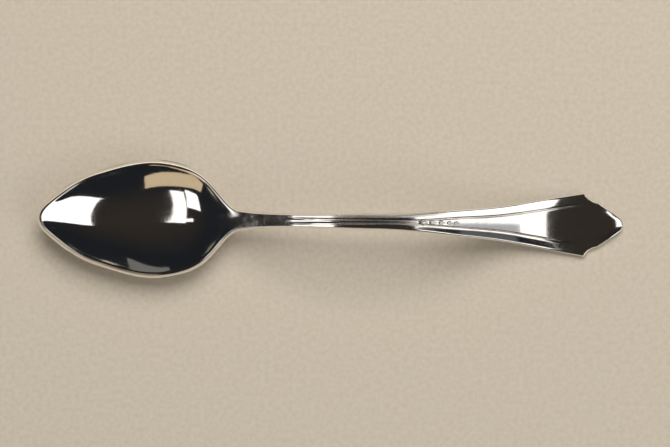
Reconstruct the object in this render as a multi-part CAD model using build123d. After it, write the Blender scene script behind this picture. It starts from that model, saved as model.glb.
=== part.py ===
import os
from math import acos, atan2, cos, hypot, radians, sin

import numpy
from build123d import *

# Teaspoon in millimetres: X from the bowl tip to the handle end, Y across, Z up from the table.

# Lengths along the spoon, one after the other
bowl_length = 48.5
stem_length = 43.0
flare_length = 39.3
end_length = 9.2

# Widths
bowl_width = 28.2
rim_land = 1.0
neck_width = 5.04
stem_width = 3.5
flare_start_width = 4.74
shoulder_width = 15.3

# Heights and thicknesses
bowl_depth = 5.6
belly_wall = 1.25
rim_edge = 1.2
neck_thickness = 2.5
neck_crown = 0.3
stem_thickness = 2.1
end_thickness = 1.6
arch_height = 15.8
nose_lift = 1.35
tip_lift = 0.2
rest_sink = 0.08
edge_radius = 0.4

# Cusped end of the handle
cusp_from_shoulder = 3.2
cusp_width = 10.7
cove_sag = 0.55
corner_radius = 1.0
tip_radius = 2.0

# Slanting soldered joint in the neck
joint_from_heel = 4.5
joint_lean = 35.0
solder_film = 0.2

# Raised threads and sunk panel on the handle
thread_lead = 9.0
thread_overrun = 1.2
thread_width = 0.55
thread_height = 0.2
thread_root = 0.6
stem_border = 1.2
end_border = 2.7
panel_depth = 0.2
panel_end_gap = 2.0
panel_end_bow = 3.6

# Chain of husks in the panel
husk_count = 5
husk_lead = 1.0
husk_length = 2.3
husk_width = 1.2
husk_height = 0.3
husk_gap = 0.15
husk_taper = 0.1
husk_draft = 15.0

# Places along the spoon, measured from the bowl tip
joint_at = bowl_length + joint_from_heel
waist_at = bowl_length + stem_length / 3
arch_at = bowl_length + stem_length * 0.755
flare_at = bowl_length + stem_length
shoulder_at = flare_at + flare_length
spoon_length = shoulder_at + end_length

# Levels and half widths
rim_height = bowl_depth + belly_wall
half_bowl = bowl_width / 2
half_neck = neck_width / 2
half_stem = stem_width / 2
half_flare = flare_start_width / 2
half_shoulder = shoulder_width / 2

# Room left around the spoon when a tool shape cuts it, and the spacing of points on its curves
margin = 2.0
stock = 20.0
sheet_spacing = 1.5
slope_spacing = 0.1


def between(first, second, share):
    return first + (second - first) * share


def smooth_line(knots):
    """A cubic line through knots (place, value) that runs straight on past both ends."""
    place, value = numpy.array(knots, dtype=float).T
    last = len(place) - 1
    step = numpy.diff(place)
    rise = numpy.diff(value) / step
    matrix = numpy.eye(last + 1)
    target = numpy.zeros(last + 1)
    for i in range(1, last):
        matrix[i, i - 1:i + 2] = step[i - 1], 2 * (step[i - 1] + step[i]), step[i]
        target[i] = 6 * (rise[i] - rise[i - 1])
    bend = numpy.linalg.solve(matrix, target)

    def line(at):
        if at < place[0]:
            return value[0] + (at - place[0]) * (rise[0] - step[0] * bend[1] / 6)
        if at > place[last]:
            return value[last] + (at - place[last]) * (rise[-1] + step[-1] * bend[-2] / 6)
        i = min(int(numpy.searchsorted(place, at, side="right")) - 1, last - 1)
        low = at - place[i]
        high = place[i + 1] - at
        curve = (bend[i] * high**3 + bend[i + 1] * low**3) / (6 * step[i])
        near = (value[i] / step[i] - bend[i] * step[i] / 6) * high
        far = (value[i + 1] / step[i] - bend[i + 1] * step[i] / 6) * low
        return curve + near + far

    return line


def slope_of(line, at):
    return (line(at + slope_spacing) - line(at - slope_spacing)) / (2 * slope_spacing)


# Half width of the outline: an egg, given in shares of the bowl, then the stem and the flare
egg_nose = [(0.09, 0.4), (0.19, 0.64), (0.32, 0.825)]
egg_widest = (0.57, 1.0)
egg_heel = [(0.73, 0.905), (0.82, 0.735), (0.9, 0.437), (0.95, 0.25)]
egg = egg_nose + [egg_widest] + egg_heel
bowl_knots = [(along * bowl_length, wide * half_bowl) for along, wide in egg]
widest_at = egg_widest[0] * bowl_length
flank_at = egg_heel[2][0] * bowl_length
handle_knots = [
    (bowl_length, half_neck),
    (between(bowl_length, waist_at, 0.24), between(half_neck, half_stem, 0.55)),
    (between(bowl_length, waist_at, 0.52), between(half_neck, half_stem, 0.84)),
    (waist_at, half_stem),
    (between(waist_at, flare_at, 0.5), between(half_stem, half_flare, 0.32)),
    (flare_at, half_flare),
    (between(flare_at, shoulder_at, 0.22), between(half_flare, half_shoulder, 0.16)),
    (between(flare_at, shoulder_at, 0.49), between(half_flare, half_shoulder, 0.355)),
    (shoulder_at, half_shoulder),
]
outer_square = smooth_line([(0, 0)] + [(at, half**2) for at, half in bowl_knots + handle_knots])


def half_width(at):
    return max(outer_square(at), 0.0) ** 0.5


# Side view: the top line of rim, stem and handle, and the height of the side wall under it
fall = arch_height - end_thickness
top_line = smooth_line([
    (0, rim_height + nose_lift),
    (0.3 * bowl_length, rim_height + nose_lift * 0.36),
    (0.57 * bowl_length, rim_height),
    (0.78 * bowl_length, rim_height),
    (0.9 * bowl_length, between(rim_height, arch_height, 0.04)),
    (bowl_length, between(rim_height, arch_height, 0.152)),
    (joint_at, between(rim_height, arch_height, 0.325)),
    (waist_at, between(rim_height, arch_height, 0.705)),
    (between(waist_at, arch_at, 0.45), between(rim_height, arch_height, 0.917)),
    (arch_at, arch_height),
    (flare_at, end_thickness + fall * 0.908),
    (between(flare_at, shoulder_at, 0.32), end_thickness + fall * 0.565),
    (between(flare_at, shoulder_at, 0.53), end_thickness + fall * 0.26),
    (between(flare_at, shoulder_at, 0.76), end_thickness + fall * 0.047),
    (shoulder_at, end_thickness - rest_sink),
    (spoon_length, end_thickness + tip_lift),
])
side_wall = smooth_line([
    (0, rim_edge),
    (0.3 * bowl_length, rim_edge),
    (0.6 * bowl_length, rim_edge),
    (0.8 * bowl_length, rim_edge),
    (joint_at, neck_thickness),
    (waist_at, between(neck_thickness, stem_thickness, 0.4)),
    (arch_at, stem_thickness),
    (flare_at, between(stem_thickness, end_thickness, 0.4)),
    (shoulder_at, end_thickness),
    (spoon_length, end_thickness),
])


# Hollow: its line along the middle, given in shares of the bowl's length and depth, and its bend across
hollow_shares = [(0.12, 0.2), (0.29, 0.74), (0.49, 1.0), (0.64, 0.915), (0.8, 0.605), (0.92, 0.08)]
hollow_spots = [(along * bowl_length, rim_height - bowl_depth * deep) for along, deep in hollow_shares]
hollow_start = (rim_land, top_line(rim_land))
hollow_end = (bowl_length, top_line(bowl_length))
floor_line = smooth_line([hollow_start] + hollow_spots + [hollow_end])
hollow_knots = []
for at, half in bowl_knots:
    inner_half = half - rim_land * hypot(1, slope_of(half_width, at))
    hollow_knots.append((at, (top_line(at) - floor_line(at)) / inner_half**2))
hollow_bend = smooth_line(hollow_knots)

# Belly: one wall under the hollow, then a crown under the neck that fades out along the stem
belly_spots = []
for at, level in hollow_spots:
    belly_spots.append((at, top_line(at) - side_wall(at) - level + belly_wall + rest_sink))
belly_fade = [(joint_at, neck_crown), (waist_at, neck_crown / 3)]
flat_under = [(at, 0) for at in (arch_at, flare_at, spoon_length)]
belly_drop = smooth_line([(0, 0)] + belly_spots + belly_fade + flat_under)
belly_bend = smooth_line([(at, belly_drop(at) / half**2) for at, half in bowl_knots + handle_knots])


def hollow_height(at, across):
    return floor_line(at) + hollow_bend(at) * across**2


def belly_height(at, across):
    return top_line(at) - side_wall(at) - belly_drop(at) + belly_bend(at) * across**2


def above_sheet(height, last):
    """Everything above a curved sheet that runs from the bowl tip to last."""
    reach = half_bowl + margin
    rows = []
    for at in numpy.linspace(-margin, last + margin, int(last / sheet_spacing)):
        rows.append([(at, across, height(at, across)) for across in numpy.linspace(-reach, reach, 17)])
    sheet = Face.make_surface_from_array_of_points(rows, tol=0.005, min_deg=3, max_deg=3)
    return extrude(sheet, stock, dir=(0, 0, 1))


def below_line(lift):
    """Everything below the top line of the side view, with the line lifted."""
    places = numpy.linspace(-margin, spoon_length + margin, 37)
    crest = Spline(*[(at, top_line(at) + lift) for at in places])
    frame = Polyline(crest @ 1, (spoon_length + margin, -stock), (-margin, -stock), crest @ 0)
    return extrude(Plane.XZ.offset(-stock) * make_face([crest, frame]), 2 * stock)


def flank(first, last):
    """A stretch of the outline on the +Y side."""
    spots = [(at, half_width(at)) for at in numpy.linspace(first, last, 7)]
    ends = [(1, slope_of(half_width, at)) for at in (first, last)]
    return Spline(*spots, tangents=ends)


# Outline from above
nose_steps = [i / 9 for i in range(-9, 10)]
nose_spots = [(widest_at * i**2, half_width(widest_at * i**2)) for i in nose_steps]
nose = Spline(*[(at, half if i > 0 else -half) for i, (at, half) in zip(nose_steps, nose_spots)])
shoulder = Vector(shoulder_at, half_shoulder)
cusp = Vector(shoulder_at + cusp_from_shoulder, cusp_width / 2)
tip_back = spoon_length - tip_radius - cusp.X
tip_angle = atan2(cusp.Y, -tip_back) - acos(tip_radius / hypot(cusp.Y, tip_back))
tip_side = Vector(cusp.X + tip_back + tip_radius * cos(tip_angle), tip_radius * sin(tip_angle))
tip = ThreePointArc(tip_side, (spoon_length, 0), (tip_side.X, -tip_side.Y))
sides = [
    flank(widest_at, flank_at),
    flank(flank_at, bowl_length),
    flank(bowl_length, flare_at),
    flank(flare_at, shoulder_at),
    SagittaArc(shoulder, cusp, -cove_sag),
    Line(cusp, tip_side),
]
planform = make_face([nose, tip] + sides + [mirror(edge, Plane.XZ) for edge in sides])
corners = planform.vertices().filter_by_position(Axis.X, shoulder_at, cusp.X)
planform = fillet(corners, corner_radius)
outline = extrude(Pos(0, 0, -stock / 2) * planform, 2 * stock)

# Spoon before it is hollowed, rounded along its upper edge and dressed flat where it rests on the table
spoon = outline & below_line(0) & above_sheet(belly_height, spoon_length)
upper_side = spoon.faces().sort_by(SortBy.AREA)[-2]
spoon = spoon.fillet(edge_radius, upper_side.outer_wire().edges())
spoon -= Pos(spoon_length / 2, 0, -stock / 2) * Box(2 * spoon_length, 4 * stock, stock)

# Hollow of the bowl
spoon -= above_sheet(hollow_height, bowl_length)


def thread_offset(at):
    share = min(max((at - waist_at) / (shoulder_at - waist_at), 0.0), 1.0)
    return half_width(at) - between(stem_border, end_border, share)


def thread_line(last, aside):
    places = numpy.linspace(bowl_length + thread_lead, last, 12)
    return Spline(*[(at, thread_offset(at) + aside) for at in places])


# Panel sunk between the threads
panel_side = thread_line(shoulder_at - panel_end_gap, 0)
panel_other = mirror(panel_side, Plane.XZ)
panel_end = ThreePointArc(panel_side @ 1, (shoulder_at - panel_end_gap + panel_end_bow, 0), panel_other @ 1)
panel = make_face([panel_side, panel_end, panel_other, Line(panel_other @ 0, panel_side @ 0)])
panel_floor = below_line(-panel_depth)
spoon -= extrude(panel, stock) - panel_floor

# Threads along both sides of the panel
thread_inside = thread_line(shoulder_at + thread_overrun, -thread_width / 2)
thread_outside = thread_line(shoulder_at + thread_overrun, thread_width / 2)
thread_ends = [Line(thread_inside @ end, thread_outside @ end) for end in (0, 1)]
thread = extrude(make_face([thread_inside, thread_outside] + thread_ends), stock)
thread = (thread & below_line(thread_height)) - below_line(-thread_root)
spoon += thread
spoon += mirror(thread, Plane.XZ)

# The neck is sawn through on a slant and soldered
lean = radians(joint_lean)
neck_middle = (joint_at, 0, top_line(joint_at) - neck_thickness / 2)
joint = Plane(origin=neck_middle, x_dir=(0, 1, 0), z_dir=(cos(lean), 0, -sin(lean)))
bowl = spoon.split(joint.offset(-solder_film / 2), Keep.BOTTOM)
neck_solder = spoon & joint * Box(stock, stock, solder_film)
handle = spoon.split(joint.offset(solder_film / 2), Keep.TOP)

# Husks in a row on the panel floor, each smaller than the one before
husks = []
husk_at = flare_at - husk_lead
for i in range(husk_count):
    share = 1 - husk_taper * i
    length = husk_length * share
    spread = husk_width / 2 * share
    middle = husk_at + length / 2
    slope = slope_of(top_line, middle)
    floor_level = top_line(middle) - panel_depth
    seat = Plane(origin=(middle, 0, floor_level), x_dir=(1, 0, slope), z_dir=(-slope, 0, 1))
    edges = [ThreePointArc((-length / 2, 0), (0, side), (length / 2, 0)) for side in (-spread, spread)]
    leaf = extrude(seat.offset(-husk_height) * make_face(edges), 2 * husk_height, taper=husk_draft)
    husks.append(leaf - panel_floor)
    husk_at += length + husk_gap

# One file per piece, with the origin under the middle of the spoon
os.makedirs("parts", exist_ok=True)
to_middle = Pos(-spoon_length / 2, 0, 0)
export_step(to_middle * bowl, "parts/bowl.step")
export_step(to_middle * neck_solder, "parts/neck_solder.step")
export_step(to_middle * handle, "parts/handle.step")
export_step(to_middle * Compound(children=husks), "parts/husk_ornament.step")
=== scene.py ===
# %% [markdown]
# # A silver teaspoon
# This lesson dresses the CAD model of a teaspoon for a photograph taken straight from above.
# The CAD model gives the frame: its nodes already sit in the right place, in metres, with X along the
# spoon from bowl to handle, Y across it and Z up from the table. Every piece made here stands in for one
# of those nodes, so nothing has to be fitted by eye.

# %% Load the frame
import bmesh
import bpy
import math
import numpy as np
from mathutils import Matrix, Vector


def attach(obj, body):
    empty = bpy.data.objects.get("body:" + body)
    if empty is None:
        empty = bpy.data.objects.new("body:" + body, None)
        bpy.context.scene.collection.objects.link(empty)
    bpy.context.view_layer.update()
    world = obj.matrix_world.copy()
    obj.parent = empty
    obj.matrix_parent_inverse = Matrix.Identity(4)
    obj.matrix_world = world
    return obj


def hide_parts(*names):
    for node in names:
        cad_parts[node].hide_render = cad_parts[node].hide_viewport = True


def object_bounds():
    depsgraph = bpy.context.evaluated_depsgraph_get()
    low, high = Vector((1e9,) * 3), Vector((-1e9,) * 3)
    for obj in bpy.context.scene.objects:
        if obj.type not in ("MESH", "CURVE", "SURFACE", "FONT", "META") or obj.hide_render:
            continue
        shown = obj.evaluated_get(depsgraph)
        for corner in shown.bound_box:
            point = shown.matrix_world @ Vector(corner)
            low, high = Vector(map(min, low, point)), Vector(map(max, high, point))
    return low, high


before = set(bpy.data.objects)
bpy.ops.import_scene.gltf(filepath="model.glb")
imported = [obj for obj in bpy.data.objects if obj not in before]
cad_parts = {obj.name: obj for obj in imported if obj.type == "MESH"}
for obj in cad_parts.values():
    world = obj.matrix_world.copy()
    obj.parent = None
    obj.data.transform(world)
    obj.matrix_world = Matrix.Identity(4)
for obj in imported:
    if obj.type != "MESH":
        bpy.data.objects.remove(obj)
cad_box = [list(corner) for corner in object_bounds()]
print("CAD box in mm:", [[round(1000 * side, 2) for side in corner] for corner in cad_box])

# %% [markdown]
# ## The sizes of the spoon
# A mirror finish shows every facet, so the CAD triangles are not smooth enough to be looked at closely.
# The skins below are drawn again from the same sizes as the solids. All places are distances from the
# bowl tip, and the length comes from the frame itself.

# %% Sizes in metres
tip_x = cad_box[0][0]
spoon_length = cad_box[1][0] - tip_x

bowl_length = 0.0485
stem_length = 0.043
flare_length = 0.0393
waist_at = bowl_length + stem_length / 3
arch_at = bowl_length + stem_length * 0.755
flare_at = bowl_length + stem_length
shoulder_at = flare_at + flare_length
joint_from_heel = 0.0045
joint_at = bowl_length + joint_from_heel

half_bowl = 0.0141
half_neck = 0.00252
half_stem = 0.00175
half_flare = 0.00237
half_shoulder = 0.00765

bowl_depth = 0.0056
belly_wall = 0.00125
rim_height = bowl_depth + belly_wall
rim_edge = 0.0012
rim_land = 0.001
arch_height = 0.0158
nose_lift = 0.00135
tip_lift = 0.0002
neck_thickness = 0.0025
neck_crown = 0.0003
stem_thickness = 0.0021
end_thickness = 0.0016
rest_sink = 0.00008
print("spoon length in mm:", round(1000 * spoon_length, 2))

# %% [markdown]
# ## Smooth lines through a few knots
# A spoon has no straight line in it. Its outline and its side view are drawn as a draughtsman would with
# a bent spline: a few knots, and a thin strip of wood that runs through them. The natural cubic spline is
# that strip in numbers. It has no kinks, so the reflections have none either.

# %% A bent strip
def between(first, second, share):
    return first + (second - first) * share


def smooth_step(share):
    share = np.clip(share, 0, 1)
    return share * share * (3 - 2 * share)


def smooth_line(knots):
    """A cubic line through knots (place, value) that runs straight on past both ends."""
    place, value = np.array(knots, dtype=float).T
    last = len(place) - 1
    step = np.diff(place)
    rise = np.diff(value) / step
    matrix = np.eye(last + 1)
    target = np.zeros(last + 1)
    for i in range(1, last):
        matrix[i, i - 1:i + 2] = step[i - 1], 2 * (step[i - 1] + step[i]), step[i]
        target[i] = 6 * (rise[i] - rise[i - 1])
    bend = np.linalg.solve(matrix, target)
    first_slope = rise[0] - step[0] * bend[1] / 6
    last_slope = rise[-1] + step[-1] * bend[-2] / 6

    def line(at):
        held = np.clip(at, place[0], place[-1])
        i = np.clip(np.searchsorted(place, held, side="right") - 1, 0, last - 1)
        low = held - place[i]
        high = place[i + 1] - held
        curve = (bend[i] * high**3 + bend[i + 1] * low**3) / (6 * step[i])
        near = (value[i] / step[i] - bend[i] * step[i] / 6) * high
        far = (value[i + 1] / step[i] - bend[i + 1] * step[i] / 6) * low
        past = np.minimum(at - place[0], 0) * first_slope + np.maximum(at - place[-1], 0) * last_slope
        return curve + near + far + past

    return line


# %% [markdown]
# ## Outline and side view
# Seen from above, the bowl is an egg that tapers to the tip, and the handle narrows to a waist and flares
# again. The half width is kept as its square, because the square of a rounded nose grows in a straight
# line and a spline likes that. The side view has a top line and the height of the edge under it.

# %% Lines of the spoon
egg = [(0.09, 0.4), (0.19, 0.64), (0.32, 0.825), (0.57, 1.0)]
egg += [(0.73, 0.905), (0.82, 0.735), (0.9, 0.437), (0.95, 0.25)]
bowl_knots = [(along * bowl_length, wide * half_bowl) for along, wide in egg]
handle_knots = [
    (bowl_length, half_neck),
    (between(bowl_length, waist_at, 0.24), between(half_neck, half_stem, 0.55)),
    (between(bowl_length, waist_at, 0.52), between(half_neck, half_stem, 0.84)),
    (waist_at, half_stem),
    (between(waist_at, flare_at, 0.5), between(half_stem, half_flare, 0.32)),
    (flare_at, half_flare),
    (between(flare_at, shoulder_at, 0.22), between(half_flare, half_shoulder, 0.16)),
    (between(flare_at, shoulder_at, 0.49), between(half_flare, half_shoulder, 0.355)),
    (shoulder_at, half_shoulder),
]
outer_square = smooth_line([(0, 0)] + [(at, half**2) for at, half in bowl_knots + handle_knots])


def half_width(at):
    return np.sqrt(np.maximum(outer_square(at), 0))


fall = arch_height - end_thickness
top_line = smooth_line([
    (0, rim_height + nose_lift),
    (0.3 * bowl_length, rim_height + nose_lift * 0.36),
    (0.57 * bowl_length, rim_height),
    (0.78 * bowl_length, rim_height),
    (0.9 * bowl_length, between(rim_height, arch_height, 0.04)),
    (bowl_length, between(rim_height, arch_height, 0.152)),
    (joint_at, between(rim_height, arch_height, 0.325)),
    (waist_at, between(rim_height, arch_height, 0.705)),
    (between(waist_at, arch_at, 0.45), between(rim_height, arch_height, 0.917)),
    (arch_at, arch_height),
    (flare_at, end_thickness + fall * 0.908),
    (between(flare_at, shoulder_at, 0.32), end_thickness + fall * 0.565),
    (between(flare_at, shoulder_at, 0.53), end_thickness + fall * 0.26),
    (between(flare_at, shoulder_at, 0.76), end_thickness + fall * 0.047),
    (shoulder_at, end_thickness - rest_sink),
    (spoon_length, end_thickness + tip_lift),
])
side_wall = smooth_line([
    (0, rim_edge),
    (0.3 * bowl_length, rim_edge),
    (0.6 * bowl_length, rim_edge),
    (0.8 * bowl_length, rim_edge),
    (joint_at, neck_thickness),
    (waist_at, between(neck_thickness, stem_thickness, 0.4)),
    (arch_at, stem_thickness),
    (flare_at, between(stem_thickness, end_thickness, 0.4)),
    (shoulder_at, end_thickness),
    (spoon_length, end_thickness),
])
print("half width at the waist in mm:", round(1000 * float(half_width(waist_at)), 2))

# %% [markdown]
# ## The hollow and the belly
# Along the middle, the hollow follows a line from the tip down to the deepest point and up to the heel,
# where it runs out. Across, it is a parabola that just reaches the inside of the rim. The belly underneath
# is made the same way, one wall thickness lower, and fades out along the stem.
# The soft corner where hollow meets rim is a smooth maximum: it follows the hollow where there is one and
# the level rim where there is none, with a small round between.

# %% Surfaces of the bowl
slope_reach = 0.0001
rim_softness = 0.00005
heel_softness = 0.00025
soft_end_gap = 0.0015
soft_end = joint_at - soft_end_gap

hollow_shares = [(0.12, 0.2), (0.29, 0.74), (0.49, 1.0), (0.64, 0.915), (0.8, 0.605), (0.92, 0.08)]
hollow_spots = [(along * bowl_length, rim_height - bowl_depth * deep) for along, deep in hollow_shares]
hollow_start = (rim_land, top_line(rim_land))
hollow_end = (bowl_length, top_line(bowl_length))
floor_line = smooth_line([hollow_start] + hollow_spots + [hollow_end])


def slope_of(line, at):
    return (line(at + slope_reach) - line(at - slope_reach)) / (2 * slope_reach)


hollow_knots = []
for at, half in bowl_knots:
    inner_half = half - rim_land * math.hypot(1, slope_of(half_width, at))
    hollow_knots.append((at, (top_line(at) - floor_line(at)) / inner_half**2))
hollow_bend = smooth_line(hollow_knots)

belly_spots = []
for at, level in hollow_spots:
    belly_spots.append((at, top_line(at) - side_wall(at) - level + belly_wall + rest_sink))
belly_fade = [(joint_at, neck_crown), (waist_at, neck_crown / 3)]
flat_under = [(at, 0) for at in (arch_at, flare_at, spoon_length)]
belly_drop = smooth_line([(0, 0)] + belly_spots + belly_fade + flat_under)
belly_bend = smooth_line([(at, belly_drop(at) / half**2) for at, half in bowl_knots + handle_knots])


def hollow_depth(at, across):
    depth = top_line(at) - floor_line(at) - hollow_bend(at) * across**2
    soft = np.interp(at, [0.8 * bowl_length, bowl_length, soft_end], [rim_softness, heel_softness, 0])
    return (depth + np.sqrt(depth**2 + 4 * soft**2)) / 2


def belly_height(at, across):
    height = top_line(at) - side_wall(at) - belly_drop(at) + belly_bend(at) * across**2
    return np.maximum(height, 0)


print("deepest point of the hollow in mm:", round(1000 * float(hollow_depth(0.49 * bowl_length, 0)), 2))

# %% [markdown]
# ## Ribs: how a flat grid becomes a spoon
# Each half of a skin is one flat grid. Its columns become ribs that run from the midline out to the
# edge, and its rows follow the outline. The last few rows roll over the edge: a superellipse between a
# chamfer and a round, because a polished rim is worn to that shape. The steep outside of the roll mirrors
# the table, which draws the thin pale line around a real spoon.

# %% Ribs along an outline
edge_steps = 9
edge_power = 1.15
edge_angles = np.linspace(0, math.pi / 2, edge_steps)
edge_out = np.cos(edge_angles) ** (2 / edge_power)
edge_drop = 1 - np.sin(edge_angles) ** (2 / edge_power)


def spaced(points, count):
    """The same line with its points at equal distances."""
    run = np.append(0, np.cumsum(np.hypot(*np.diff(points, axis=0).T)))
    even = np.linspace(0, run[-1], count)
    return np.column_stack([np.interp(even, run, side) for side in points.T])


def inward(points):
    """Unit directions square to an outline, into the piece."""
    along, across = np.gradient(points, axis=0).T
    return np.column_stack([across, -along]) / np.hypot(along, across)[:, None]


edge_width = smooth_line([
    (0, 0.001),
    (0.75 * bowl_length, 0.00095),
    (bowl_length, 0.0006),
    (waist_at, 0.0005),
    (flare_at, 0.0005),
    (shoulder_at, 0.00028),
    (spoon_length, 0.00028),
])
edge_height = smooth_line([
    (0, 0.00108),
    (0.75 * bowl_length, 0.00105),
    (bowl_length, 0.0008),
    (waist_at, 0.0007),
    (flare_at, 0.0006),
    (shoulder_at, 0.00034),
    (spoon_length, 0.00034),
])
under_round = smooth_line([(0, 0.0001), (bowl_length, 0.0002), (waist_at, 0.0004), (spoon_length, 0.0004)])
print("rows over the edge:", edge_steps)


# %% [markdown]
# ## From ribs to a closed piece
# The grid is shaped as the +Y half of the top skin and mirrored, which also welds the midline. Extruding
# the whole sheet gives it a second side and walls around the outline, and the new side is let down to the
# underside of the spoon. A grid, a mirror and an extrusion are all it takes.

# %% Shape one shell
weld_distance = 1e-7
midline_reach = 1e-6


def shell_from_ribs(top, under):
    """A closed shell from two sheets of places, each columns by rows by (x, y, z)."""
    columns, rows = top.shape[0] - 1, top.shape[1] - 1
    bm = bmesh.new()
    bmesh.ops.create_grid(bm, x_segments=columns, y_segments=rows, size=1)
    spot = bm.verts.layers.int.new("spot")
    for vert in bm.verts:
        column = round((vert.co.x + 1) / 2 * columns)
        row = round((vert.co.y + 1) / 2 * rows)
        vert[spot] = column * (rows + 1) + row
        vert.co = top[column, row]
    bmesh.ops.mirror(bm, geom=bm.verts[:] + bm.edges[:] + bm.faces[:], axis="Y", merge_dist=weld_distance)
    made = bmesh.ops.extrude_face_region(bm, geom=bm.faces[:])["geom"]
    for vert in made:
        if isinstance(vert, bmesh.types.BMVert):
            column, row = divmod(vert[spot], rows + 1)
            vert.co.z = under[column, row]
    bmesh.ops.remove_doubles(bm, verts=bm.verts, dist=weld_distance)
    bmesh.ops.recalc_face_normals(bm, faces=bm.faces)
    bm.verts.layers.int.remove(spot)
    return bm


def place_ribs(outline, spine, shares, top_height):
    """The two sheets of a shell, from its outline, its midline and the shares of a rib that get a row."""
    at, across = outline.T
    roll = edge_width(at)
    normal = inward(outline)
    normal[0, 1] = 0 if across[0] < midline_reach else normal[0, 1]
    normal[-1, 1] = 0 if across[-1] < midline_reach else normal[-1, 1]
    crest = outline + normal * roll[:, None]
    crest[:, 1] = np.maximum(crest[:, 1], 0)
    rib = spine[:, None, :] + (crest - spine)[:, None, :] * shares[:, :, None]
    edge = crest[:, None, :] + (outline - crest)[:, None, :] * edge_out[::-1][None, 1:, None]
    plan = np.concatenate([rib, edge], axis=1)
    drop = np.zeros(plan.shape[:2])
    drop[:, shares.shape[1]:] = edge_height(at)[:, None] * edge_drop[::-1][None, 1:]
    out = np.zeros(plan.shape[:2])
    out[:, shares.shape[1]:] = edge_out[::-1][None, 1:]
    top = top_height(plan[:, :, 0], plan[:, :, 1]) - drop
    rise = under_round(at)[:, None] * (1 - np.sqrt(1 - out**2))
    under = belly_height(plan[:, :, 0], plan[:, :, 1]) + rise
    return np.dstack([plan[:, :, 0] + tip_x, plan[:, :, 1], top]), under


# %% [markdown]
# ## Cutting at the neck
# Bowl and handle were made apart and joined with a slanting soldered joint in the neck. Both skins are
# made a little too long, and a slanted plane cuts them where the joint is. The open end is filled, and
# its edges are marked sharp so that the shading does not try to round them.

# %% Cut and cap
joint_lean = math.radians(35)
solder_film = 0.0002
neck_overlap = 0.004
joint_middle = Vector((joint_at + tip_x, 0, float(top_line(joint_at)) - neck_thickness / 2))
joint_normal = Vector((math.cos(joint_lean), 0, -math.sin(joint_lean)))


def cut_at_joint(bm, offset, keep_bowl_side):
    cut = bmesh.ops.bisect_plane(
        bm, geom=bm.verts[:] + bm.edges[:] + bm.faces[:], dist=weld_distance,
        plane_co=joint_middle + joint_normal * offset, plane_no=joint_normal,
        clear_outer=keep_bowl_side, clear_inner=not keep_bowl_side)["geom_cut"]
    rim = [part for part in cut if isinstance(part, bmesh.types.BMEdge)]
    bmesh.ops.edgeloop_fill(bm, edges=rim)
    for edge in rim:
        edge.smooth = False
    bmesh.ops.recalc_face_normals(bm, faces=bm.faces)


def finish_piece(bm, name, node):
    """A smooth object that stands for one CAD node."""
    for face in bm.faces:
        face.smooth = True
    mesh = bpy.data.meshes.new(name)
    bm.to_mesh(mesh)
    bm.free()
    piece = bpy.data.objects.new(name, mesh)
    bpy.context.collection.objects.link(piece)
    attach(piece, "root")
    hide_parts(node)
    print(name, "faces:", len(mesh.polygons))
    return piece


# %% [markdown]
# ## The bowl
# The ribs of the bowl fan out from a short midline, so that they meet the egg nearly square all the way
# round the tip. They run on into the neck, past the joint, where the plane cuts them.

# %% Bowl and neck blank
bowl_columns = 190
bowl_rows = 40
spine_start = 0.009
spine_heel = 0.044
nose_points = 4000

neck_end = joint_at + neck_overlap
nose_places = neck_end * np.linspace(0, 1, nose_points) ** 2
bowl_outline = spaced(np.column_stack([nose_places, half_width(nose_places)]), bowl_columns + 1)
bowl_at = bowl_outline[:, 0]
spine_at = np.interp(bowl_at, [0, bowl_length, neck_end], [spine_start, spine_heel, neck_end])
bowl_spine = np.column_stack([spine_at, np.zeros_like(spine_at)])
bowl_shares = np.tile(np.linspace(0, 1, bowl_rows), (bowl_columns + 1, 1))


def bowl_top(at, across):
    return top_line(at) - hollow_depth(at, across)


bowl_sheets = place_ribs(bowl_outline, bowl_spine, bowl_shares, bowl_top)
bowl_shell = shell_from_ribs(*bowl_sheets)
cut_at_joint(bowl_shell, -solder_film / 2, keep_bowl_side=True)
bowl = finish_piece(bowl_shell, "spoon_bowl", "bowl")

# %% [markdown]
# ## The solder
# The solder is the thin slice that the two cuts leave between bowl and handle. It is made from the same
# blank, cut from both sides, so its skin runs on without a step.

# %% Solder film
solder_shell = shell_from_ribs(*bowl_sheets)
cut_at_joint(solder_shell, solder_film / 2, keep_bowl_side=True)
cut_at_joint(solder_shell, -solder_film / 2, keep_bowl_side=False)
solder = finish_piece(solder_shell, "neck_solder_film", "neck_solder")

# %% [markdown]
# ## The outline of the handle
# The handle flares to two shoulders and ends in a cusped shield: a hollow cove, a small point, and a
# straight run to a rounded tip. Dense points are averaged with their neighbours, which rounds the two
# corners as polishing does.

# %% Cusped end
cusp_from_shoulder = 0.0032
half_cusp = 0.00535
cove_sag = 0.00055
tip_radius = 0.002
corner_reach = 4
flank_points, cove_points, tip_points = 900, 50, 40

cusp = np.array([shoulder_at + cusp_from_shoulder, half_cusp])
flank_places = np.linspace(joint_at - neck_overlap, shoulder_at, flank_points)
flank = np.column_stack([flank_places, half_width(flank_places)])
shoulder = flank[-1]
chord = cusp - shoulder
into_cove = np.array([chord[1], -chord[0]]) / np.hypot(*chord)
cove_share = np.linspace(0, 1, cove_points)[:, None]
cove = shoulder + chord * cove_share + into_cove * cove_sag * 4 * cove_share * (1 - cove_share)
tip_middle = np.array([spoon_length - tip_radius, 0])
tip_reach, tip_rise = cusp - tip_middle
tip_angle = math.atan2(tip_rise, tip_reach) - math.acos(tip_radius / math.hypot(tip_reach, tip_rise))
tip_turn = np.linspace(tip_angle, 0, tip_points)
tip = tip_middle + tip_radius * np.column_stack([np.cos(tip_turn), np.sin(tip_turn)])

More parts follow.
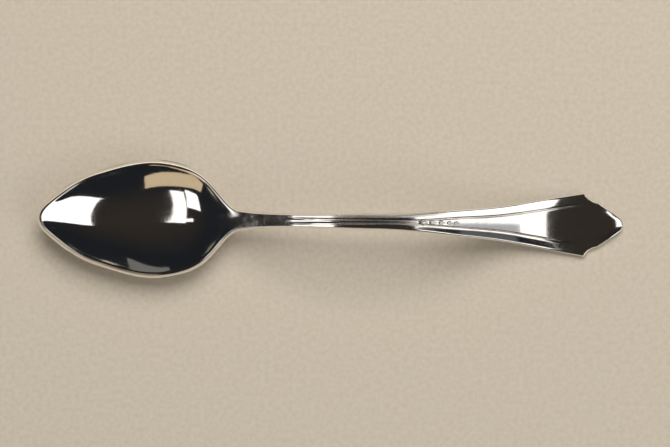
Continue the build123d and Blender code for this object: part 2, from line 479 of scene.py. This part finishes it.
handle_columns = 300
fine_steps = 10
fine = spaced(np.concatenate([flank, cove[1:], tip]), fine_steps * handle_columns + 1)
both = np.concatenate([fine, fine[-2::-1] * [1, -1]])
window = np.ones(2 * corner_reach + 1) / (2 * corner_reach + 1)
rounded = np.column_stack([np.convolve(np.pad(side, corner_reach, mode="edge"), window, "valid")
                           for side in both.T])[:len(fine)]
handle_outline = spaced(rounded, handle_columns + 1)
handle_outline[-1, 1] = 0
print("handle outline points:", len(handle_outline))

# %% [markdown]
# ## The front of the handle
# Two raised threads follow the flare, with a sunk panel between them. The front is dished a touch from
# side to side, the borders outside the threads lift towards the edge, and the end turns up in a lip, so the
# light breaks differently on each strip. Each form fades in gently, because a die leaves no hard starts.

# %% Threads, panel and tip
thread_width = 0.0006
thread_height = 0.00013
thread_power = 1.5
stem_border = 0.0012
end_border = 0.0027
panel_depth = 0.0002
panel_wall = 0.0004
thread_lead = 0.009
thread_first = bowl_length + thread_lead
thread_last = shoulder_at
thread_lead_in = 0.025
thread_fade = 0.005
panel_fade = 0.02
front_dish = 0.0004
border_lift = 0.00026
border_fade = 0.01
lip_height = 0.0006
lip_width = 0.0028
lip_power = 1.5

shield = handle_outline[handle_outline[:, 0] > cusp[0]][::-1]


def lip_rise(at, across):
    """The upturned edge of the shield, by the distance left to its outline."""
    left = np.interp(across, shield[:, 1], shield[:, 0]) - at
    fade = smooth_step((cusp[1] - across) / lip_width)
    return lip_height * fade * np.clip(1 - left / lip_width, 0, 1) ** lip_power


def thread_offset(at):
    share = np.clip((at - waist_at) / (shoulder_at - waist_at), 0, 1)
    return half_width(at) - between(stem_border, end_border, share)


def handle_top(at, across):
    across = np.abs(across)
    line = thread_offset(at)
    start = smooth_step((at - thread_first) / thread_lead_in)
    run_out = start * smooth_step((thread_last - at) / thread_fade)
    bump = np.clip(1 - ((across - line) / (thread_width / 2)) ** 2, 0, 1) ** thread_power
    panel = start * smooth_step((line - across) / panel_wall)
    panel = panel * smooth_step((thread_last - at) / panel_fade)
    width = half_width(np.minimum(at, shoulder_at))
    dished = front_dish * smooth_step((at - arch_at) / flare_length) * (1 - (across / width) ** 2)
    lift_run = smooth_step((at - arch_at) / border_fade) * smooth_step((shoulder_at - at) / border_fade)
    lifted = border_lift * lift_run * np.clip((across - line) / (width - line), 0, 1)
    relief = thread_height * bump * run_out - panel_depth * panel - dished + lifted
    return top_line(at) + relief + lip_rise(at, across)


print("threads from", round(1000 * thread_first, 1), "to", round(1000 * thread_last, 1), "mm")

# %% [markdown]
# ## The handle
# Along the flare the ribs stand square to the spoon. Around the shield they fan towards the tip.
# For each rib the script finds the share at which it crosses the thread and gathers the rows there, so a
# thread has enough faces to be round.

# %% Handle
panel_rows, thread_rows, border_rows = 14, 9, 8
fan_at = 0.124
fan_from_tip = 0.0028
fan_end = spoon_length - fan_from_tip
widest_share = 0.84
widest_reach = 0.9
rib_steps = 400

run = np.append(0, np.cumsum(np.hypot(*np.diff(handle_outline, axis=0).T)))
fan_run = np.interp(fan_at, handle_outline[:, 0], run)
fan_share = np.clip((run - fan_run) / (run[-1] - fan_run), 0, 1)
spine_at = np.where(run < fan_run, handle_outline[:, 0], between(fan_at, fan_end, fan_share))
handle_spine = np.column_stack([spine_at, np.zeros_like(spine_at)])
crest = handle_outline + inward(handle_outline) * edge_width(handle_outline[:, 0])[:, None]

shares = []
steps = np.linspace(0, 1, rib_steps)
for foot, head in zip(handle_spine, crest):
    rib = foot + (head - foot) * steps[:, None]
    beyond = np.nonzero(rib[:, 1] >= thread_offset(rib[:, 0]))[0]
    crossing = min(steps[beyond[0]] if len(beyond) else widest_share, widest_share)
    reach = min(thread_width / 2 / np.hypot(*(head - foot)), widest_reach * (1 - crossing))
    inner, outer = crossing - reach, crossing + reach
    shares.append(np.concatenate([
        np.linspace(0, inner, panel_rows, endpoint=False),
        np.linspace(inner, outer, thread_rows, endpoint=False),
        np.linspace(outer, 1, border_rows),
    ]))

handle_sheets = place_ribs(handle_outline, handle_spine, np.array(shares), handle_top)
handle_shell = shell_from_ribs(*handle_sheets)
cut_at_joint(handle_shell, solder_film / 2, keep_bowl_side=False)
handle = finish_piece(handle_shell, "spoon_handle", "handle")

# %% [markdown]
# ## The husks
# A chain of husks, an old ornament of overlapping seed pods, lies on the panel where the flare begins.
# Each husk is three small leaves. A leaf starts as a flat grid that is pinched to a point at both ends and
# raised in the middle, and an extrusion gives it a root that sinks into the panel.

# %% Husk chain
husk_count = 5
husk_lead = 0.001
husk_length = 0.0023
husk_width = 0.0012
husk_height = 0.00026
husk_gap = 0.00015
husk_taper = 0.1
husk_root = 0.00005
side_leaf_turn = math.radians(24)
side_leaf_size = 0.72
leaf_columns, leaf_rows = 14, 8
leaf_taper, leaf_round, leaf_crown = 0.8, 0.5, 0.75
vein_depth, vein_sharpness = 0.3, 40


def add_leaf(bm, base_at, length, width, turn):
    """One leaf that points along the spoon from base_at and is turned about its base."""
    verts = bmesh.ops.create_grid(bm, x_segments=leaf_columns, y_segments=leaf_rows, size=1)["verts"]
    faces = list({face for vert in verts for face in vert.link_faces})
    made = bmesh.ops.extrude_face_region(bm, geom=faces)["geom"]
    roots = [part for part in made if isinstance(part, bmesh.types.BMVert)]
    for vert in verts + roots:
        along, aside = vert.co.x, vert.co.y
        pinch = max(1 - along**2, 0)
        out = length * (along + 1) / 2
        side = aside * width / 2 * pinch**leaf_taper
        at = base_at + out * math.cos(turn) - side * math.sin(turn)
        across = out * math.sin(turn) + side * math.cos(turn)
        floor = float(handle_top(at, abs(across)))
        vein = vein_depth * husk_height * math.exp(-vein_sharpness * aside**2)
        swell = husk_height * pinch**leaf_round * (1 - leaf_crown * aside**2) - vein
        vert.co = at + tip_x, across, floor + (max(swell, 0) if vert in verts else -husk_root)


husk_shell = bmesh.new()
husk_at = flare_at - husk_lead
for i in range(husk_count):
    share = 1 - husk_taper * i
    length = husk_length * share
    width = husk_width * share / 2
    add_leaf(husk_shell, husk_at, length, width, 0)
    for turn in (-side_leaf_turn, side_leaf_turn):
        add_leaf(husk_shell, husk_at, length * side_leaf_size, width, turn)
    husk_at += length + husk_gap
bmesh.ops.remove_doubles(husk_shell, verts=husk_shell.verts, dist=weld_distance)
bmesh.ops.recalc_face_normals(husk_shell, faces=husk_shell.faces)
husks = finish_piece(husk_shell, "husk_chain", "husk_ornament")

# %% [markdown]
# ## Where tarnish stays and where use scuffs
# A cloth polishes what stands proud and leaves a brown film in the corners: along both sides of a thread,
# and between the husks. Fingers and other spoons do the opposite: they scuff what stands proud, most of all
# on one edge at the top of the arch, and a scuffed mirror turns pale. Both are painted as a number on each
# vertex, so that they follow the surface and go along when the mesh is exported.

# %% Tarnish and wear on the vertices
thread_tarnish = 0.35
tarnish_reach = 0.00018
wear_start, wear_end, wear_fade = 0.069, 0.1, 0.006
wear_width, wear_blend = 0.0012, 0.0004
thread_wear = 0.7


def paint(piece, name, amount):
    layer = piece.data.attributes.new(name, "FLOAT", "POINT")
    values = [float(amount(vert.co.x - tip_x, vert.co.y, vert.co.z)) for vert in piece.data.vertices]
    layer.data.foreach_set("value", values)
    print(piece.name, name, "up to", round(max(values), 2))


def on_front(at, height):
    return height > top_line(at) - 2 * panel_depth - front_dish


def beside_thread(at, across, height):
    if at < thread_first or at > thread_last or not on_front(at, height):
        return 0
    foot = abs(abs(across) - thread_offset(at)) - thread_width / 2
    return thread_tarnish * math.exp(-(foot / tarnish_reach) ** 2)


def scuffed(at, across, height):
    if at < wear_start or at > wear_end or not on_front(at, height):
        return 0
    along = smooth_step((at - wear_start) / wear_fade) * smooth_step((wear_end - at) / wear_fade)
    edge = smooth_step((across - half_width(at) + wear_width) / wear_blend)
    crest = max(1 - ((abs(across) - thread_offset(at)) / (thread_width / 2)) ** 2, 0)
    return along * max(edge, thread_wear * crest)


def husk_foot(at, across, height):
    return 1 - min(max((height - handle_top(at, across)) / husk_height, 0), 1)


paint(handle, "tarnish", beside_thread)
paint(husks, "tarnish", husk_foot)
paint(handle, "wear", scuffed)

# %% [markdown]
# ## Small helpers for materials
# A material is a graph of nodes. These helpers add a node or two and link them, so that the recipes below
# read like a list of finishes: noise for what is uneven, a ramp to set how strong it is, a blend of colours.

# %% Node helpers
def add(tree, kind, settings=(), **inputs):
    """A node with its settings and the values or links of its sockets."""
    node = tree.nodes.new("ShaderNode" + kind)
    for name, value in dict(settings).items():
        setattr(node, name, value)
    for name, value in inputs.items():
        socket = node.inputs[name.replace("_", " ")]
        if isinstance(value, bpy.types.NodeSocket):
            tree.links.new(value, socket)
        else:
            socket.default_value = value
    return node


def noise(tree, coordinates, stretch, scale, detail):
    """Noise between 0 and 1, stretched along the axes."""
    turned = add(tree, "Mapping", Vector=coordinates, Scale=stretch)
    return add(tree, "TexNoise", Vector=turned.outputs["Vector"], Scale=scale, Detail=detail).outputs["Fac"]


def ramp(tree, value, low, high, to_low, to_high):
    """A value carried from one range to another, held at its ends."""
    made = add(tree, "MapRange", Value=value, From_Min=low, From_Max=high, To_Min=to_low, To_Max=to_high)
    return made.outputs["Result"]


def combine(tree, first, second, operation="ADD"):
    """Two values put together by a sum or by the operation named."""
    made = tree.nodes.new("ShaderNodeMath")
    made.operation = operation
    for socket, value in zip(made.inputs, (first, second)):
        if isinstance(value, bpy.types.NodeSocket):
            tree.links.new(value, socket)
        else:
            socket.default_value = value
    return made.outputs["Value"]


def blend_colours(tree, share, first, second):
    """The first colour where the share is 0 and the second where it is 1."""
    made = add(tree, "Mix", {"data_type": "RGBA"})
    for name, value in (("Factor_Float", share), ("A_Color", first), ("B_Color", second)):
        socket = next(s for s in made.inputs if s.identifier == name)
        if isinstance(value, bpy.types.NodeSocket):
            tree.links.new(value, socket)
        else:
            socket.default_value = (*value, 1)
    return next(s for s in made.outputs if s.identifier == "Result_Color")


def new_metal(name):
    """A material with a bare metal shader and the object's coordinates."""
    material = bpy.data.materials.new(name)
    material.use_nodes = True
    tree = material.node_tree
    shader = tree.nodes["Principled BSDF"]
    shader.inputs["Metallic"].default_value = 1.0
    return material, tree, shader, tree.nodes.new("ShaderNodeTexCoord").outputs["Object"]


# %% [markdown]
# ## Polished silver
# Silver is a metal with a faintly warm white colour and hardly any roughness, so most of its look is what
# it mirrors. What makes it real is the use it has seen: hairlines that run along the spoon, soft waves
# from the polishing wheel, a fine orange peel, a matt patch at the neck where the file marks were never
# polished out, and the tarnish and scuffs painted above. What isn't painted comes from Object coordinates,
# by noise or by the place along the spoon. Solder and husks are the same metal with a satin grain.

# %% Silver, solder and darkened silver
silver_colour = (0.95, 0.925, 0.89)
haze_colour = (0.86, 0.82, 0.77)
tarnish_colour = (0.42, 0.33, 0.24)
solder_light, solder_dark = (0.8, 0.77, 0.72), (0.6, 0.56, 0.5)
husk_light, husk_dark = (0.9, 0.87, 0.82), (0.2, 0.15, 0.11)
frost_start, frost_end = 0.039 + tip_x, 0.06 + tip_x
haze_start, haze_end = 0.06 + tip_x, 0.09 + tip_x

even = (1, 1, 1)
drawn_out = (0.04, 1, 0.6)
hairline_scale, wave_scale, peel_scale = 9000, 260, 2600
patch_scale, speck_scale, grain_scale = 420, 5200, 3500
polish_rough, hairline_rough = 0.035, 0.13
frost_rough, tarnish_rough, haze_rough, wear_rough = 0.26, 0.25, 0.05, 0.5
hairline_relief, peel_relief, polish_relief = 0.08, 0.06, 0.000012
satin_relief = 0.00002


def polished_silver():
    material, tree, shader, place = new_metal("polished_silver")
    hairlines = noise(tree, place, drawn_out, hairline_scale, 3)
    waves = noise(tree, place, even, wave_scale, 2)
    peel = noise(tree, place, even, peel_scale, 3)
    patches = noise(tree, place, even, patch_scale, 4)

    along = add(tree, "SeparateXYZ", Vector=place).outputs["X"]
    middle = (frost_start + frost_end) / 2
    near = ramp(tree, along, frost_start, middle, 0, 1)
    far = ramp(tree, along, middle, frost_end, 1, 0)
    frost = combine(tree, near, far, "MINIMUM")
    frost = combine(tree, frost, ramp(tree, patches, 0.35, 0.65, 0.2, 1), "MULTIPLY")

    stain = add(tree, "Attribute", {"attribute_name": "tarnish"}).outputs["Fac"]
    stain = combine(tree, stain, ramp(tree, patches, 0.35, 0.65, 0.15, 0.85), "MULTIPLY")
    colour = blend_colours(tree, ramp(tree, patches, 0.5, 0.75, 0, 0.5), silver_colour, haze_colour)
    colour = blend_colours(tree, stain, colour, tarnish_colour)
    tree.links.new(colour, shader.inputs["Base Color"])

    specks = ramp(tree, noise(tree, place, even, speck_scale, 2), 0.4, 0.55, 0.45, 1)
    wear = add(tree, "Attribute", {"attribute_name": "wear"}).outputs["Fac"]
    wear = combine(tree, wear, specks, "MULTIPLY")

    rough = ramp(tree, hairlines, 0.45, 0.75, polish_rough, hairline_rough)
    rough = combine(tree, rough, ramp(tree, frost, 0, 1, 0, frost_rough))
    rough = combine(tree, rough, ramp(tree, stain, 0, 1, 0, tarnish_rough))
    rough = combine(tree, rough, ramp(tree, along, haze_start, haze_end, 0, haze_rough))
    rough = combine(tree, rough, ramp(tree, wear, 0, 1, 0, wear_rough))
    tree.links.new(rough, shader.inputs["Roughness"])

    relief = combine(tree, combine(tree, hairlines, hairline_relief, "MULTIPLY"), waves)
    relief = combine(tree, relief, combine(tree, peel, peel_relief, "MULTIPLY"))
    bump = add(tree, "Bump", Height=relief, Strength=1.0, Distance=polish_relief)
    tree.links.new(bump.outputs["Normal"], shader.inputs["Normal"])
    return material


def satin_metal(name, light, dark, rough_low, rough_high):
    material, tree, shader, place = new_metal(name)
    grain = noise(tree, place, even, grain_scale, 4)
    stain = add(tree, "Attribute", {"attribute_name": "tarnish"}).outputs["Fac"]
    share = combine(tree, stain, ramp(tree, grain, 0.3, 0.7, 0.25, 1), "MULTIPLY")
    tree.links.new(blend_colours(tree, share, light, dark), shader.inputs["Base Color"])
    tree.links.new(ramp(tree, grain, 0.3, 0.7, rough_low, rough_high), shader.inputs["Roughness"])
    bump = add(tree, "Bump", Height=grain, Strength=0.5, Distance=satin_relief)
    tree.links.new(bump.outputs["Normal"], shader.inputs["Normal"])
    return material


silver = polished_silver()
solder_metal = satin_metal("silver_solder", solder_light, solder_dark, 0.14, 0.26)
husk_metal = satin_metal("darkened_silver", husk_light, husk_dark, 0.12, 0.3)
for piece, metal in ((bowl, silver), (handle, silver), (solder, solder_metal), (husks, husk_metal)):
    piece.data.materials.append(metal)
print("materials:", [material.name for material in bpy.data.materials])

# %% [markdown]
# ## The table
# The spoon lies on plain pale card. A profile that runs flat and then sweeps up is spun once round, so a
# low camera never looks past the edge of the table. Card is matt, with a faint mottling of its fibres.

# %% Floor with a raised edge
sweep_start, sweep_end, sweep_height = 0.7, 1.2, 0.13
floor_colour = (0.6, 0.535, 0.44)
floor_fleck = (0.54, 0.475, 0.385)
floor_rough = 0.85
fibre_scale = 900
sweep_points, turn_steps = 17, 96
floor_weld = 1e-6

floor_shell = bmesh.new()
profile = [floor_shell.verts.new((0, 0, 0))]
for share in np.linspace(0, 1, sweep_points):
    rise = sweep_height * float(share) ** 2
    profile.append(floor_shell.verts.new((between(sweep_start, sweep_end, float(share)), 0, rise)))
profile_edges = [floor_shell.edges.new(pair) for pair in zip(profile, profile[1:])]
bmesh.ops.spin(floor_shell, geom=profile + profile_edges, axis=(0, 0, 1), cent=(0, 0, 0),
               angle=2 * math.pi, steps=turn_steps, use_merge=True)
bmesh.ops.remove_doubles(floor_shell, verts=floor_shell.verts, dist=floor_weld)
bmesh.ops.recalc_face_normals(floor_shell, faces=floor_shell.faces)
for face in floor_shell.faces:
    face.smooth = True
floor_mesh = bpy.data.meshes.new("table_card")
floor_shell.to_mesh(floor_mesh)
floor_shell.free()
floor = bpy.data.objects.new("table_card", floor_mesh)
bpy.context.collection.objects.link(floor)

card = bpy.data.materials.new("pale_card")
card.use_nodes = True
card_tree = card.node_tree
card_shader = card_tree.nodes["Principled BSDF"]
card_place = card_tree.nodes.new("ShaderNodeTexCoord").outputs["Object"]
fibres = ramp(card_tree, noise(card_tree, card_place, even, fibre_scale, 4), 0.35, 0.7, 0, 1)
card_colour = blend_colours(card_tree, fibres, floor_colour, floor_fleck)
card_tree.links.new(card_colour, card_shader.inputs["Base Color"])
card_shader.inputs["Roughness"].default_value = floor_rough
floor_mesh.materials.append(card)
print("floor faces:", len(floor_mesh.polygons))

# %% [markdown]
# ## Lamps as things to mirror
# Polished metal shows its surroundings, so each lamp is a plain rectangle that the spoon can mirror. The
# energy follows from the radiance and the area, so a radiance of 1 is mirrored as white at any lamp size.

# %% Soft boxes
def soft_box(name, place, width, height, radiance, colour):
    """A rectangular lamp that faces the middle of the spoon."""
    lamp = bpy.data.lights.new(name, "AREA")
    lamp.shape = "RECTANGLE"
    lamp.size, lamp.size_y = width, height
    lamp.energy = math.pi * radiance * width * height
    lamp.color = colour
    box = bpy.data.objects.new(name, lamp)
    box.location = place
    box.rotation_euler = Vector(place).to_track_quat("Z", "Y").to_euler()
    box.visible_camera = False
    bpy.context.collection.objects.link(box)
    return box


def flat_panel(name, middle, size, turn, radiance, colour):
    """A level panel overhead that faces down, turned by some degrees."""
    panel = soft_box(name, (*middle, panel_height), *size, radiance, colour)
    panel.rotation_euler = (0, 0, math.radians(turn))


def upright_card(name, place, size, turns, radiance, colour):
    """A card that stands beside the spoon, turned about X and then about Y in degrees."""
    upright = soft_box(name, place, *size, radiance, colour)
    upright.rotation_euler = (math.radians(turns[0]), math.radians(turns[1]), 0)
    return upright


def from_angles(turn, rise, distance):
    """A place seen from the spoon at a turn round it and a rise above the table, in degrees."""
    turn, rise = math.radians(turn), math.radians(rise)
    flat = distance * math.cos(rise)
    return flat * math.cos(turn), flat * math.sin(turn), distance * math.sin(rise)


# %% [markdown]
# ## The light
# Level panels overhead stand for windows. Those beyond the handle whiten the tip side of the hollow and the
# flare, and a dim stretch of sky beside them greys the sunk panel. Three panes behind the bowl show on the
# heel side of the hollow. A warm card and a grey card stand upright at the two sides, and a low strip draws
# the pale line along the rim. The key lamp is hidden from mirrors: it only lights the table and casts the
# shadow. Between the panels it is dark, and that is what makes the middle of the bowl deep and black.

# %% Lamps
panel_height = 1.2
window_light, near_sky_light, far_sky_light = 1.3, 0.4, 0.09
warm_light, grey_light, strip_light, key_light = 0.54, 0.14, 0.85, 6.4
window_white = (1.0, 0.985, 0.96)
sky_grey = (0.95, 0.96, 1.0)
warm_tint = (1.0, 0.78, 0.5)
grey_tint = (1.0, 0.98, 0.9)
strip_tint = (1.0, 0.9, 0.74)
key_tint = (1.0, 0.98, 0.95)
key_turn, key_rise, key_distance, key_side = 80, 55, 1.0, 0.7

flat_panel("window_beyond_handle", (1.9, -0.625), (2.6, 1.25), 0, window_light, window_white)
flat_panel("window_side", (1.95, -1.71), (2.6, 1.3), -45, window_light, window_white)
flat_panel("window_top", (0.95, 0.215), (0.7, 0.43), 0, window_light, window_white)
flat_panel("sky_near", (2.25, 0.23), (1.9, 0.46), 0, near_sky_light, sky_grey)
flat_panel("sky_far", (2.45, 1.03), (1.5, 1.14), 0, far_sky_light, sky_grey)
flat_panel("pane_near", (-0.585, -0.57), (0.24, 1.4), -5, window_light, window_white)
flat_panel("pane_far", (-1.095, -0.91), (0.63, 0.95), -8, window_light, window_white)
flat_panel("pane_foot", (-0.76, 0.03), (0.28, 0.12), 0, window_light, window_white)
upright_card("warm_card", (-0.6, -1.0, 0.53), (1.1, 0.4), (90, -10), warm_light, warm_tint)
upright_card("grey_card", (-0.08, 1.0, 0.24), (0.44, 0.24), (-90, 0), grey_light, grey_tint)
low_strip = upright_card("low_strip", (0, 0.68, 0.05), (1.8, 0.08), (-90, 0), strip_light, strip_tint)
low_strip.visible_diffuse = False
key_place = from_angles(key_turn, key_rise, key_distance)
key = soft_box("key", key_place, key_side, key_side, key_light, key_tint)
key.visible_glossy = False
print("lamps:", len(bpy.data.lights))

# %% [markdown]
# ## The room
# Where no lamp stands, the spoon mirrors the room. It is nearly black, a little cool along the walls and a
# little warm overhead, so the dark parts of the silver are not dead.

# %% Dim room
wall_shade = (0.011, 0.013, 0.016)
ceiling_shade = (0.028, 0.023, 0.018)

world = bpy.data.worlds.new("dim_room")
world.use_nodes = True
sky = world.node_tree
direction = sky.nodes.new("ShaderNodeTexCoord").outputs["Generated"]
height = add(sky, "SeparateXYZ", Vector=direction).outputs["Z"]
shade = blend_colours(sky, ramp(sky, height, 0.5, 1.0, 0, 1), wall_shade, ceiling_shade)
sky.links.new(shade, sky.nodes["Background"].inputs["Color"])
bpy.context.scene.world = world
bpy.context.scene.view_settings.view_transform = "Standard"
print("world:", world.name)

# %% [markdown]
# ## The camera
# The photograph looks straight down, with the spoon turned a little clockwise. The focal length follows
# from the picture's width in pixels and from how many of them the spoon takes up.

# %% Camera
picture_width = 670
focal_pixels = 2578
camera_height = 0.62
camera_aside = (0.00086, -0.0005)
camera_turn = math.radians(0.78)
sensor_width = 36

camera_data = bpy.data.cameras.new("camera")
camera_data.sensor_width = sensor_width
camera_data.lens = sensor_width * focal_pixels / picture_width
camera = bpy.data.objects.new("camera", camera_data)
camera.location = (*camera_aside, camera_height)
camera.rotation_euler = (0, 0, camera_turn)
bpy.context.collection.objects.link(camera)
bpy.context.scene.camera = camera
print("lens in mm:", round(camera_data.lens, 1))
